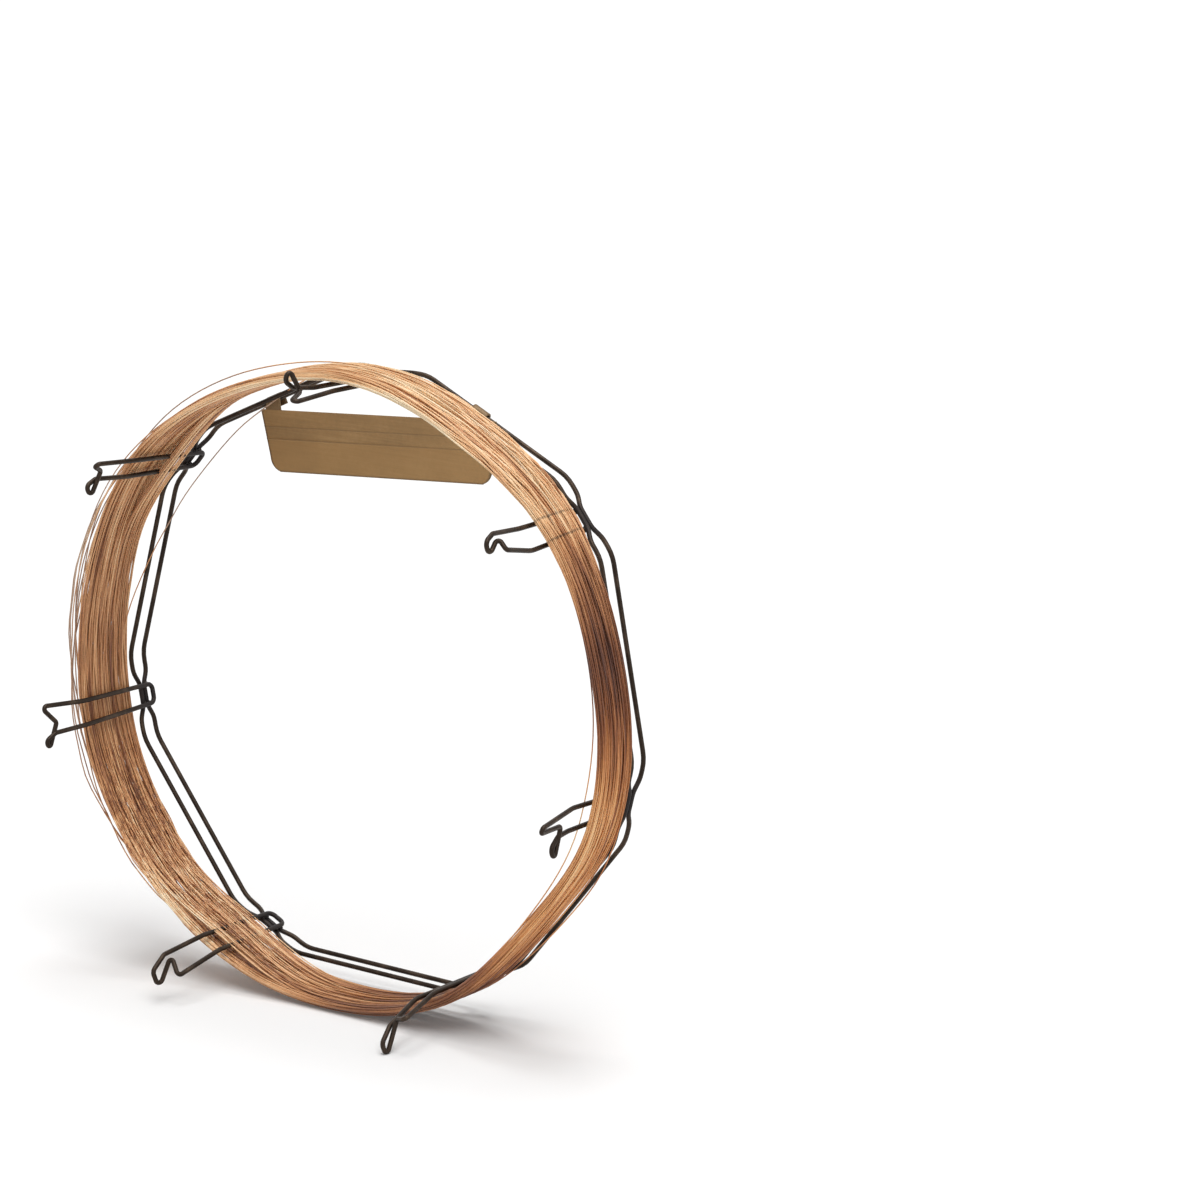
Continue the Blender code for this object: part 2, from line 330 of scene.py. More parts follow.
def stationShift(index):
    outward, sideways = cage["shifts"].get(index % cage["stations"], (0.0, 0.0))
    return (radial(stationAngle(index)) * outward + tangent(stationAngle(index)) * sideways) * mm


# A point on the flat of a ring wire: along it from the station's middle, then off along Y
def flatPoint(index, along, aside):
    angle = stationAngle(index)
    middle = radial(angle) * cage["ringRadius"] + stationShift(index)
    return middle + tangent(angle) * along + Vector((0.0, aside, 0.0))


def ringCorners(side):
    pinched = cage["ringsMiddle"] + side * cage["pinchedApart"]
    spread = cage["ringsMiddle"] + side * cage["spreadApart"]
    half = [(*cage["pinch"], pinched), (*cage["spread"], spread), (*cage["flat"], spread)]
    corners = []
    for index in range(cage["stations"]):
        corners += [(flatPoint(index, -along, aside), bend) for along, bend, aside in reversed(half)]
        corners += [(flatPoint(index, along, aside), bend) for along, bend, aside in half]
    return corners


def middleOf(points):
    spans = [[point[axis] for point in points] for axis in range(3)]
    return Vector([(max(span) + min(span)) / 2 for span in spans])


# The cage's middle in the frame, from where the rear ring wire's node lies
rearRing = bentPath(ringCorners(1))
frontRing = bentPath(ringCorners(-1))
low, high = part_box("rear_ring_wire")
ringCentre = (low + high) / 2 - middleOf(rearRing)
print("ring centre", [round(value / mm, 3) for value in ringCentre])


def moved(points):
    return [point + ringCentre for point in points]


# Dark spring wire: drawn lines along it, brown and grey patches, a blue-grey tint by the welds
wireLook = {
    "tints": (
        (0.30, (0.015, 0.009, 0.006)),
        (0.50, (0.034, 0.023, 0.016)),
        (0.68, (0.095, 0.066, 0.046)),
    ),
    "weldTint": (0.030, 0.030, 0.034),
    "weldTintShare": 0.55,
    "weldRound": (0.86, 0.995),         # where the tint starts and is full: a cosine, 1 at each arm
    "weldAlong": (-9 * mm, -4 * mm),    # and along Y, from the ring wires
    "patchScale": 160.0,
    "drawnScale": (90.0, 14.0, 1.0),
    "speckScale": 2600.0,
}


def wireFinish():
    finish = Finish(bpy.data.materials.new("darkWire"))
    place = finish.place()
    patches = finish.noise(place, wireLook["patchScale"], 3.0, 0.6)
    drawn = finish.noise(finish.stretched(finish.mapped("run"), wireLook["drawnScale"]), 1.0, 2.0, 0.6)
    specks = finish.noise(place, wireLook["speckScale"], 2.0, 0.7)
    x, y, z = finish.apart(place)
    roundRing = (z - ringCentre.z).maths("ARCTAN2", x - ringCentre.x)
    fromArm = ((roundRing - stationAngle(0)) * cage["stations"]).maths("COSINE")
    nearRings = finish.step(y, *[ringCentre.y + along for along in wireLook["weldAlong"]])
    nearWeld = finish.step(fromArm, *wireLook["weldRound"]) * nearRings
    colour = finish.ramp(patches * 0.6 + drawn * 0.3 + specks * 0.1, *wireLook["tints"])
    return finish.wear(
        baseColor=finish.mix(nearWeld * wireLook["weldTintShare"], colour, wireLook["weldTint"]),
        metallic=0.55 + patches * 0.3,
        roughness=0.3 + patches * 0.16 + drawn * 0.1 + nearWeld * 0.12,
        specular=0.3,
        normal=finish.bump(drawn * 0.7 + specks * 0.5, 0.25, 0.05 * mm),
    )


darkWire = wireFinish()

for name, path in (("frontRingWire", frontRing), ("rearRingWire", rearRing)):
    ring = tube(name, moved(path), cage["wireRadius"], cage["wireSides"], darkWire)
    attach(ring, "root")
    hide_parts("front_ring_wire" if name == "frontRingWire" else "rear_ring_wire")
print("ring wires made")


# The arms: one wire each, bent to a hairpin with an eye on one leg's tip and a corner on the other's
arm = {
    "radius": cage["ringRadius"] - 2 * cage["wireRadius"] - 0.3 * mm,
    "rear": 0.9 * mm,
    "halfRear": 2.6 * mm,
    "halfTip": 3.2 * mm,
    "bend": 1.7 * mm,
    "eyeBend": 1.7 * mm,
    "eyeReach": 2.2 * mm,
    "eyeReachGain": 0.28,
    "eyeCrossing": 1.9 * mm,
    "eyeCorners": ((1.0, 0.0, 0.40), (0.6, 0.3, 1.08)),  # shares of its reach, its crossing and its drop
    "eyeEnd": -0.2,                                      # where its wire ends, a share of its reach
    "peak": 0.8 * mm,
    "cornerBend": 0.9 * mm,
    "splayStart": 27.0 * mm,
    "splayBend": 12.0 * mm,
    # eye's side; eye leg, eye drop, corner leg and corner drop in mm; slope of the splay; legs outward in mm
    "tips": {
        "arm_top": (1, 35.5, -4.3, 45.5, 3.4, 0.14, -1.2),
        "arm_upper_left": (1, 37.5, 4.6, 43.0, 0.4, 0.14, 0.0),
        "arm_left": (1, 38.0, 4.2, 42.0, -1.5, 0.14, 0.0),
        "arm_lower_left": (-1, 42.0, 7.6, 43.0, 1.6, 0.14, 0.0),
        "arm_lower_right": (-1, 40.0, 6.55, 41.5, -1.0, 0.30, 0.0),
        "arm_right": (-1, 32.2, 5.5, 52.0, 1.2, 0.14, 0.0),
        "arm_upper_right": (1, 40.0, 4.6, 39.5, -1.5, 0.14, 0.0),
    },
}


# The closed rear end goes with the ring wires, and the legs run to their own places
def armCorners(index, tip):
    angle = stationAngle(index)
    sideways = tangent(angle) * tip[0]
    eyeLeg, eyeDrop, cornerLeg, cornerDrop = [size * mm for size in tip[1:5]]
    slope, legsOut = tip[5], tip[6] * mm

    def place(forward, across, down):
        outward = arm["radius"] + slope * max(0.0, forward - arm["splayStart"])
        spot = radial(angle) * outward + sideways * across + Vector((0.0, -forward, -down))
        return spot + (stationShift(index) if forward < 0 else radial(angle) * legsOut)

    reach = arm["eyeReach"] + arm["eyeReachGain"] * abs(eyeDrop)
    peak = -arm["peak"] if eyeDrop > 0 else arm["peak"]
    crossing = arm["eyeCrossing"]
    half = arm["halfTip"]
    eye = [(place(eyeLeg + along * reach, half - over * crossing, fall * eyeDrop), arm["eyeBend"])
           for along, over, fall in arm["eyeCorners"]]
    return [
        (place(-arm["rear"], -arm["halfRear"], 0.0), arm["bend"]),
        (place(-arm["rear"], arm["halfRear"], 0.0), arm["bend"]),
        (place(arm["splayStart"], half, 0.0), arm["splayBend"]),
        (place(eyeLeg, half, 0.0), arm["eyeBend"]),
        *eye,
        (place(eyeLeg + arm["eyeEnd"] * reach, half - crossing, peak), arm["cornerBend"]),
        (place(cornerLeg, -half, cornerDrop), arm["cornerBend"]),
        (place(arm["splayStart"], -half, 0.0), arm["splayBend"]),
    ]


for index, (node, tip) in enumerate(arm["tips"].items()):
    path = bentPath(armCorners(index, tip))
    hairpin = tube(node.replace("arm_", "arm-"), moved(path), cage["wireRadius"], cage["wireSides"], darkWire)
    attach(hairpin, "root")
    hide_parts(node)
print("arms made")


# Spot welds: a squeezed, lumpy bead of burnt metal between a ring wire and each leg that crosses it
weld = {
    "size": (0.62 * mm, 0.58 * mm, 0.46 * mm),  # along the ring, along Y, outward
    "growth": (0.85, 1.2),
    "lumps": 0.32,
    "lumpScale": 2.2,
    "strays": 0.12 * mm,
    "seed": 5,
    "tints": (
        (0.30, (0.016, 0.013, 0.011)),
        (0.55, (0.050, 0.042, 0.037)),
        (0.72, (0.170, 0.150, 0.130)),
    ),
}


def weldFinish():
    finish = Finish(bpy.data.materials.new("weldedMetal"))
    lumps = finish.noise(finish.place(), 1500.0, 4.0, 0.65)
    return finish.wear(
        baseColor=finish.ramp(lumps, *weld["tints"]),
        metallic=0.6,
        roughness=0.42 + lumps * 0.3,
        normal=finish.bump(lumps, 0.5, 0.2 * mm),
    )


def makeWelds():
    draw = random.Random(weld["seed"])
    build = bmesh.new()
    between = (cage["ringRadius"] + arm["radius"]) / 2
    for index in range(cage["stations"]):
        angle = stationAngle(index)
        outward, sideways = radial(angle), tangent(angle)
        for leg in (-1, 1):
            for ringSide in (-1, 1):
                aside = cage["ringsMiddle"] + ringSide * cage["pinchedApart"]
                middle = outward * between + sideways * leg * arm["halfRear"] + Vector((0.0, aside, 0.0))
                middle += stationShift(index)
                middle += Vector([draw.uniform(-1, 1) * weld["strays"] for axis in range(3)])
                bead = bmesh.ops.create_icosphere(build, subdivisions=3, radius=1.0)
                offset = Vector([draw.uniform(0, 50) for axis in range(3)])
                growth = draw.uniform(*weld["growth"])
                for vert in bead["verts"]:
                    swollen = growth * (1 + weld["lumps"] * noise.noise(vert.co * weld["lumpScale"] + offset))
                    x, y, z = [vert.co[axis] * weld["size"][axis] * swollen for axis in range(3)]
                    vert.co = middle + sideways * x + Vector((0.0, y, 0.0)) + outward * z + ringCentre
    mesh = bpy.data.meshes.new("spotWelds")
    build.to_mesh(mesh)
    build.free()
    mesh.shade_smooth()
    return linked("spotWelds", mesh, weldFinish())


spotWelds = makeWelds()
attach(spotWelds, "root")
print("spot welds made")


# The capillary: one long coated glass tube, wound in layers that stray over each other
capillary = {
    "radius": 0.18 * mm,
    "turns": 189,
    "layers": 7,
    "stepsPerTurn": 144,
    "sides": 6,
    "start": radians(318),
    "outside": 84.5 * mm,
    "lobe": 0.6 * mm,
    "thick": 2.45 * mm,
    "rear": -6.0 * mm,
    "front": -25.0 * mm,
    "crown": 0.4 * mm,
    "crownPower": 6,
    "rimWander": 0.35 * mm,
    "rimBulge": 0.45 * mm,
    "rimHold": 0.7,                     # below 1 the turns stray up to the rims, above 1 only in the middle
    "layerChange": 0.5,                 # how much of a turn it takes to climb to the next layer
    "lanes": 18,                        # the odd ones are ridges, where the turns lie in bundles
    "ridges": (0.15 * mm, 0.35 * mm),   # on the inside and on the outside
    "ridgeWander": 0.31 * mm,
    "wanderWaves": ((0.6, 0, 2.4), (0.4, 3, 1.1)),  # share, waves more, shift from lane to lane
    "bunching": 0.15,
    # how each layer strays: waves round the ring, or waves across it and round it; share of its width, or mm
    "strayWaves": ((1, 0.050), (2, 0.045), (3, 0.034), (5, 0.016), (6, 0.010)),
    "strayRipples": ((2, 1, 0.018), (3, -2, 0.014), (5, 3, 0.010), (7, -1, 0.007)),
    "liftRipples": ((1, 2, 0.07), (2, -3, 0.06)),
    # how each turn strays along Y and outward: waves in a turn, mm
    "alongWaves": ((2.371, 0.20), (5.617, 0.14), (9.283, 0.08), (15.39, 0.03)),
    "awayWaves": ((3.193, 0.06), (7.437, 0.04), (12.71, 0.02)),
    "rumpledAlong": ((13.83, 0.34), (21.41, 0.24), (33.37, 0.18)),
    "rumpledAway": ((19.57, 0.10), (31.13, 0.08)),
    "slack": (  # degrees middle, half width, rise in mm
        (217, 34, 2.0), (270, 40, 1.3), (320, 26, -1.6), (5, 24, 0.8), (97, 30, -1.2)),
    "narrowings": (  # degrees middle, half width, rear and front rim in mm
        (5, 45, -2.2, 0.0), (320, 28, -2.2, 0.0), (25, 40, 0.0, 4.5), (340, 40, 0.0, 4.5)),
    "rumpled": ((222, 38, 1.0), (52, 34, 0.8), (178, 30, 0.5)),  # degrees middle, half width, how much
    "seed": 11,
}

# Single turns that have come loose: pass, degrees middle, half width, rise and shift along Y in mm
looseTurns = [
    (171, 152, 58, 6.5, 0.0),
    (171, 104, 36, 1.6, 0.0),
    (2, 124, 28, -4.5, 5.5),
    (2, 152, 28, -3.9, 5.5),
    (26, 346, 34, -2.3, -0.5),
    (164, 325, 26, 1.8, 0.3),
    (187, 233, 24, 1.0, -0.5),
    (188, 168, 44, 2.8, -0.2),
    (187, 176, 50, 4.4, 0.0),
    (186, 162, 40, 3.6, -0.6),
    (185, 184, 52, 2.6, -0.4),
    (184, 172, 46, 4.9, -1.2),
    (183, 192, 44, 3.3, -0.9),
    (182, 160, 40, 3.1, -1.2),
    (181, 186, 50, 4.2, -1.8),
    (179, 170, 46, 4.6, -2.4),
    (177, 196, 44, 3.0, -1.6),
    (174, 180, 48, 4.0, -2.2),
    (172, 204, 36, 2.6, -1.0),
    (168, 214, 32, 1.9, -0.6),
    (166, 190, 40, 2.4, 0.4),
    (188, 206, 36, 1.9, -0.3),
    (185, 213, 34, 2.4, 0.2),
    (183, 202, 40, 2.7, -0.6),
    (180, 210, 34, 2.2, -1.1),
]
# Turns that pass inside an arm: degrees of the arm, passes
tuckedTurns = [
    (140.3, [*range(1, 13), *range(41, 54)]),
    (243.1, [*range(1, 8), *range(11, 17), *range(20, 24), *range(30, 33), *range(37, 43), *range(46, 53)]),
]
tucked = (22, -2.7, 0.0)  # half width in degrees, rise and shift along Y in mm
for middle, passes in tuckedTurns:
    looseTurns += [(number, middle, *tucked) for number in passes]


# 1 at an angle in degrees round the ring, 0 beyond half degrees from it
def swell(angle, middle, half):
    away = (angle - radians(middle) + pi) % (2 * pi) - pi
    return np.where(np.abs(away) < radians(half), 0.5 + 0.5 * np.cos(pi * away / radians(half)), 0.0)


def smooth(values):
    held = np.clip(values, 0.0, 1.0)
    return held * held * (3 - 2 * held)


# Waves round the ring, in metres
def wavy(total, waves, shift):
    return sum(size * mm * np.sin(many * total + shift * many) for many, size in waves)


# Where each point lies between the lanes of bundles, which stray sideways as they go round
def lanePlace(along, total, rear, front, face):
    lanes = capillary["lanes"]
    width = (rear - front) / lanes
    place = (along - front) / width
    low = np.clip(np.floor(place), 0, lanes - 1)
    stray = 0.0
    for lane, weight in ((low, 1 - (place - low)), (low + 1, place - low)):
        waves = 2 + (3 * (lane + 5 * face)) % 4
        sway = sum(share * np.sin((waves + more) * total + shift * (lane + 5 * face))
                   for share, more, shift in capillary["wanderWaves"])
        stray = stray + np.where((lane > 0) & (lane < lanes), sway, 0.0) * np.clip(weight, 0, 1)
    return place - stray * capillary["ridgeWander"] / width, width


# How each layer's turns bunch, stray and lift in their own way
def layerStray(layer, share, total, held):
    draw = random.Random(capillary["seed"])
    stray = np.zeros(len(total))
    lift = np.zeros(len(total))
    for index in range(capillary["layers"]):
        inLayer = layer == index
        for waves, size in capillary["strayWaves"]:
            phase = draw.uniform(0, 2 * pi)
            stray += inLayer * size * np.sin(waves * total + phase) * held
        for lanes, waves, size in capillary["strayRipples"]:
            phase = draw.uniform(0, 2 * pi)
            stray += inLayer * size * np.sin(2 * pi * lanes * share + waves * total + phase) * held
        for lanes, waves, size in capillary["liftRipples"]:
            phase = draw.uniform(0, 2 * pi)
            lift += inLayer * size * mm * np.sin(2 * pi * lanes * share + waves * total + phase) * held
    return stray, lift


# The capillary's centre line, pass by pass, with the way outward at each of its points
def capillaryPath():
    count = capillary["turns"] * capillary["stepsPerTurn"] + 1
    layers = capillary["layers"]
    turn = np.arange(count) / capillary["stepsPerTurn"]
    total = capillary["start"] + 2 * pi * turn
    perLayer = capillary["turns"] / layers
    layer = np.minimum(np.floor(turn / perLayer), layers - 1).astype(int)
    share = turn / perLayer - layer
    share = np.where(layer % 2 == 1, 1 - share, share)  # 0 at the rear rim, 1 at the front
    climbs = [smooth((turn - perLayer * step) / capillary["layerChange"] + 0.5) for step in range(1, layers)]
    height = sum(climbs) / (layers - 1)
    held = np.sin(pi * share) ** capillary["rimHold"]
    stray, lift = layerStray(layer, share, total, held)
    across = share + stray
    rear = capillary["rear"] - capillary["rimWander"] * (1 + np.sin(3 * total))
    front = capillary["front"] - capillary["rimWander"] * np.sin(2 * total + 1)
    for middle, half, rearIn, frontIn in capillary["narrowings"]:
        rear = rear + rearIn * mm * swell(total, middle, half)
        front = front + frontIn * mm * swell(total, middle, half)
    bulging = capillary["rimBulge"] * np.sin(pi * height) - capillary["radius"]
    along = rear + bulging + (front - rear - 2 * bulging) * across
    rumpled = sum(size * swell(total, middle, half) for middle, half, size in capillary["rumpled"])
    along += wavy(total, capillary["alongWaves"], 1) + rumpled * wavy(total, capillary["rumpledAlong"], 1)

    outside = capillary["outside"] + capillary["lobe"] * np.cos(cage["stations"] * (total - pi / 2))
    for middle, half, rise in capillary["slack"]:
        outside = outside + rise * mm * swell(total, middle, half)
    away = outside - capillary["radius"] - (1 - height) * (capillary["thick"] - 2 * capillary["radius"])
    away += lift - capillary["crown"] * (2 * share - 1) ** capillary["crownPower"] * (height - 0.5) * 2
    for face, weight in ((0, height - 1), (1, height)):
        place, width = lanePlace(along, total, rear, front, face)
        away -= weight * capillary["ridges"][face] * np.cos(pi * place)
        if face:
            along = along + capillary["bunching"] * width * np.sin(pi * place) * held
    away += wavy(total, capillary["awayWaves"], 2) + rumpled * wavy(total, capillary["rumpledAway"], 2)
    for number, middle, half, rise, aside in looseTurns:
        off = (total - radians(middle) - 2 * pi * number) / radians(half)
        size = np.where(np.abs(off) < 1, 0.5 + 0.5 * np.cos(pi * off), 0.0) * mm
        away = away + rise * size
        along = along + aside * size
    points = np.stack([away * np.cos(total), along, away * np.sin(total)], 1) + np.array(ringCentre)
    outward = np.stack([np.cos(total), np.zeros(count), np.sin(total)], 1)
    return points, outward


# Copper-brown coat on glass: tint and gloss change from turn to turn, in bundles and along each turn, with
# painted light and shade on top
coat = {
    "tints": (
        (0.22, (0.085, 0.026, 0.012)),
        (0.38, (0.280, 0.105, 0.042)),
        (0.50, (0.590, 0.280, 0.116)),
        (0.64, (0.850, 0.530, 0.275)),
        (0.80, (0.960, 0.800, 0.560)),
    ),
    "paintedLightRound": (  # degrees round the ring, how much paler or darker the tone is painted there: painted light and shade
        (-180, 0.01), (-150, -0.07), (-132, 0.07), (-100, -0.01), (-60, -0.16), (-40, 0.03), (-15, 0.07),
        (14, -0.20), (31, -0.06), (40, 0.12), (90, 0.16), (120, 0.03), (145, 0.11), (180, 0.01)),
    # the noises that the tone is made of: scale, detail, share
    "byTurn": (3.2, 2.0, 0.70),        # these three run along the capillary
    "alongTurn": (38.0, 3.0, 0.30),
    # painted glints and dark flecks along the turns where they are rumpled
    "paintedGlints": (330.0, 2.0, 0.90),
    "specks": (1400.0, 1.0, 0.10),
    "ribbons": (1.0, 3.0, 0.85),
    "ribbonStretch": (1.1, 270.0, 200.0),  # round the ring, along Y and outward
    "rumpledAt": (227, 34),  # degrees middle, half width
    # painted shade: the right side of the ring browner and darker
    "shadedSideAt": (-24, 50),
    "shadedSideTint": (1.00, 0.84, 0.64),
    "bridgedArm": 6,  # the upper right one: painted shade lines lie where its legs run under the turns
    "legShadeWidth": 9,                  # degrees to either side of the arm
    "legShadeHalf": (0.10 * mm, 0.50 * mm),
    "legShadeContrast": 2.5,
    "legShadeTint": (0.060, 0.034, 0.022),
    "looseAt": (148, 68),
    "looseInside": (77.4 * mm, 78.8 * mm),   # where a turn is clear of the others, from the ring's centre
    "looseOutside": (85.8 * mm, 87.4 * mm),
    "looseShare": 0.6,
    "looseLitTint": (0.430, 0.355, 0.300),
    "roughness": 0.34,
    "coatRoughness": 0.25,
}


def coatFinish():
    finish = Finish(bpy.data.materials.new("coatedGlass"))
    run = finish.mapped("run")
    place = finish.place()
    x, y, z = finish.apart(place)
    x, z = x - ringCentre.x, z - ringCentre.z
    away = (x * x + z * z).maths("SQRT")
    angle = z.maths("ARCTAN2", x)

    def alongRun(key):
        scale, detail = coat[key][:2]
        return finish.noise(finish.stretched(run, (scale, 0.0, 0.0)), 1.0, detail, 0.6)

    # 1 about an angle round the ring, 0 beyond half degrees from it
    def near(middle, half):
        toward = (angle - radians(middle)).maths("COSINE")
        return finish.step(toward, cos(radians(half)), cos(radians(half / 4)))

    around, across, outward = coat["ribbonStretch"]
    spread = {"X": x / away * around, "Y": z / away * around, "Z": y * across + away * outward}
    noises = {
        "byTurn": alongRun("byTurn"),
        "ribbons": finish.noise(finish.node("ShaderNodeCombineXYZ", {}, spread), *coat["ribbons"][:2], 0.6),
        "alongTurn": alongRun("alongTurn"),
        "specks": finish.noise(place, *coat["specks"][:2], 0.5),
    }
    # painted light and shade round the ring: the tone starts paler where light falls and darker where shade falls
    paintedLightRound = [((at + 180) / 360, (0.5 + by,) * 3) for at, by in coat["paintedLightRound"]]
    tone = finish.ramp(angle / (2 * pi) + 0.5, *paintedLightRound)
    for key, values in noises.items():
        tone = tone + (values - 0.5) * coat[key][2]
    # painted glints and dark flecks along the turns where they are rumpled
    tone = tone + near(*coat["rumpledAt"]) * (alongRun("paintedGlints") - 0.5) * coat["paintedGlints"][2]
    colour = finish.ramp(tone, *coat["tints"])
    # painted shade: the right side of the ring browner and darker
    colour = finish.mix(near(*coat["shadedSideAt"]), colour, coat["shadedSideTint"], "MULTIPLY")

    # painted shade: thin dark lines over one arm's legs, for the shade in the kink where the turns bend over them
    there = stationAngle(coat["bridgedArm"])
    forward = (ringCentre.y - y + arm["rear"]) / (arm["splayStart"] + arm["rear"])
    sideways = (1 - forward) * (cage["shifts"][coat["bridgedArm"]][1] * mm)
    aside = (z * cos(there) - x * sin(there) - sideways).maths("ABSOLUTE")
    legAt = forward * (arm["halfTip"] - arm["halfRear"]) + arm["halfRear"]
    onLeg = 1 - finish.step((aside - legAt).maths("ABSOLUTE"), *coat["legShadeHalf"])
    shows = (noises["byTurn"] - 0.5) * coat["legShadeContrast"] + 0.5
    shadeLine = onLeg * near(degrees(there), coat["legShadeWidth"]) * shows
    colour = finish.mix(shadeLine, colour, coat["legShadeTint"])

    # painted light: loose turns clear of the others greyer and paler, for light shining through their glass
    lone = finish.step(away, *coat["looseOutside"]) + 1 - finish.step(away, *coat["looseInside"])
    colour = finish.mix(lone * near(*coat["looseAt"]) * coat["looseShare"], colour, coat["looseLitTint"])
    return finish.wear(
        baseColor=colour,
        roughness=coat["roughness"] + noises["alongTurn"] * 0.2,
        coatRoughness=coat["coatRoughness"],
        coatWeight=noises["ribbons"] * 0.3,
        normal=finish.bump(noises["specks"], 0.1, 0.02 * mm),
    )


# The inner and the outer half of the turns are one tube in two pieces, cut in the middle layer
def windCapillary():
    points, outward = capillaryPath()
    along = np.gradient(points, axis=0)
    along /= np.linalg.norm(along, axis=1)[:, None]
    outward -= along * (outward * along).sum(1)[:, None]
    outward /= np.linalg.norm(outward, axis=1)[:, None]
    aside = np.cross(along, outward)
    cut = len(points) // 2
    halves = {
        "capillaryInnerTurns": slice(0, cut + 1),
        "capillaryOuterTurns": slice(cut, len(points)),
    }
    coatedGlass = coatFinish()
    wound = 0.0
    for name, part in halves.items():
        turns = tube(name, points[part], capillary["radius"], capillary["sides"], coatedGlass, False,
                     (outward[part], aside[part]), wound)
        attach(turns, "root")
        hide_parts("capillary_winding")
        wound += float(np.linalg.norm(np.diff(points[part], axis=0), axis=1).sum())
    print("capillary wound:", round(wound, 1), "m")


windCapillary()


# The tag plate: thin sheet with two shallow creases, hooked over the rear ring wire
plate = {
    "topAt": (-2.5 * mm, 69.2 * mm),    # the middle of its top edge along X and Z, from the ring's centre
    "topWidth": 77.0 * mm,
    "bottomWidth": 72.5 * mm,
    "height": 16.5 * mm,
    "thick": 0.5 * mm,
    "corner": 4.0 * mm,
    "roll": radians(4.1),
    "edge": 0.12 * mm,
    "tabHalf": 2.5 * mm,
    "tabs": (-34.5 * mm, 32.5 * mm),
    "hookGap": 0.25 * mm,
    "hookTail": 2.0 * mm,
    "hookEndThin": 0.7,                 # thickness of a hook's end, a share of the sheet's
    "hookSteps": 14,
    "columns": 96,
    "rows": 40,
    "lastRows": (0.988, 0.996),         # more rows where the lower corners are round, shares of the height
    "creases": ((0.27, 0.05 * mm), (0.47, 0.09 * mm)),  # share of the height, depth
    "creaseHalf": 0.022,
    "bow": 0.10 * mm,
    "sharpAngle": radians(50),
}
hookBend = cage["wireRadius"] + plate["hookGap"] + plate["thick"] / 2
plateMiddle = Vector((plate["topAt"][0], cage["ringsMiddle"] + cage["spreadApart"] - hookBend, plate["topAt"][1]))


def platePlace(along, down, aside=0.0):
    edge = Vector((cos(plate["roll"]), 0.0, sin(plate["roll"])))
    fall = Vector((sin(plate["roll"]), 0.0, -cos(plate["roll"])))
    return plateMiddle + edge * along + fall * down + Vector((0.0, aside, 0.0)) + ringCentre


# Half width of the sheet at a share of its height, with the lower corners rounded
def plateHalf(share):
    down = share * plate["height"]
    straight = plate["height"] - plate["corner"]
    narrower = (plate["bottomWidth"] - plate["topWidth"]) / 2
    half = plate["topWidth"] / 2 + narrower * min(1.0, down / straight)
    into = down - straight
    if into > 0:
        half -= plate["corner"] - (max(0.0, plate["corner"] ** 2 - into ** 2)) ** 0.5
    return half


# Satin sheet: cloudy and brushed, yellower below the lower crease, with painted shade in the creases and on the
# hooks, dark along the rim
sheet = {
    "tints": (
        (0.32, (0.240, 0.140, 0.053)),
        (0.50, (0.325, 0.192, 0.073)),
        (0.68, (0.420, 0.258, 0.108)),
    ),
    "brushStretch": (60.0, 60.0, 2400.0),
    "cloudScale": 70.0,
    "spotScale": 900.0,
    "lowerAt": (0.46, 0.48),
    "lowerTint": (0.385, 0.215, 0.072),
    "creaseShadeReach": 0.016,
    "creaseShadeTint": (0.130, 0.082, 0.034),
    "rimReach": (0.012, 0.045),         # from the sides, from the bottom
    "rimTint": (0.085, 0.055, 0.028),
    "hookShadeAt": (-0.08, -0.01),        # painted shade above the sheet's top edge, on the hooks
    "hookShadeTint": (0.075, 0.046, 0.026),
    "hookSpot": (0.5, -0.1),            # where the hooks lie on the sheet's map
}


def plateFinish():
    finish = Finish(bpy.data.materials.new("plateMetal"))
    place = finish.place()
    along, down = finish.apart(finish.mapped("sheet"))[:2]
    brushed = finish.noise(finish.stretched(place, sheet["brushStretch"]), 1.0, 3.0, 0.6)
    clouds = finish.noise(place, sheet["cloudScale"], 3.0, 0.55)
    spots = finish.noise(place, sheet["spotScale"], 2.0, 0.6)
    colour = finish.ramp(clouds * 0.5 + brushed * 0.3 + spots * 0.15 + along * 0.1, *sheet["tints"])
    colour = finish.mix(finish.step(down, *sheet["lowerAt"]) * 0.45, colour, sheet["lowerTint"])
    # painted shade: a dark line along each crease
    for crease, depth in plate["creases"]:
        reach = sheet["creaseShadeReach"]
        shadeLine = finish.step(down, crease - reach, crease) * (1 - finish.step(down, crease, crease + reach))
        colour = finish.mix(shadeLine * (0.25 + clouds * 0.5), colour, sheet["creaseShadeTint"])
    atSide, atBottom = sheet["rimReach"]
    inside = finish.step(along, 0.0, atSide) * (1 - finish.step(along, 1 - atSide, 1.0))
    rim = 1 - inside * (1 - finish.step(down, 1 - atBottom, 1.0))
    colour = finish.mix(rim * (0.3 + spots * 0.7), colour, sheet["rimTint"])
    # painted shade on the hooks, where they bend up to the wire
    hookShade = 1 - finish.step(down, *sheet["hookShadeAt"])
    colour = finish.mix(hookShade * (0.3 + clouds * 0.7), colour, sheet["hookShadeTint"])
    return finish.wear(
        baseColor=colour,
        metallic=0.35,
        roughness=0.40 + clouds * 0.16 + brushed * 0.08,
        normal=finish.bump(brushed * 0.6 + clouds * 0.4, 0.16, 0.06 * mm),
    )


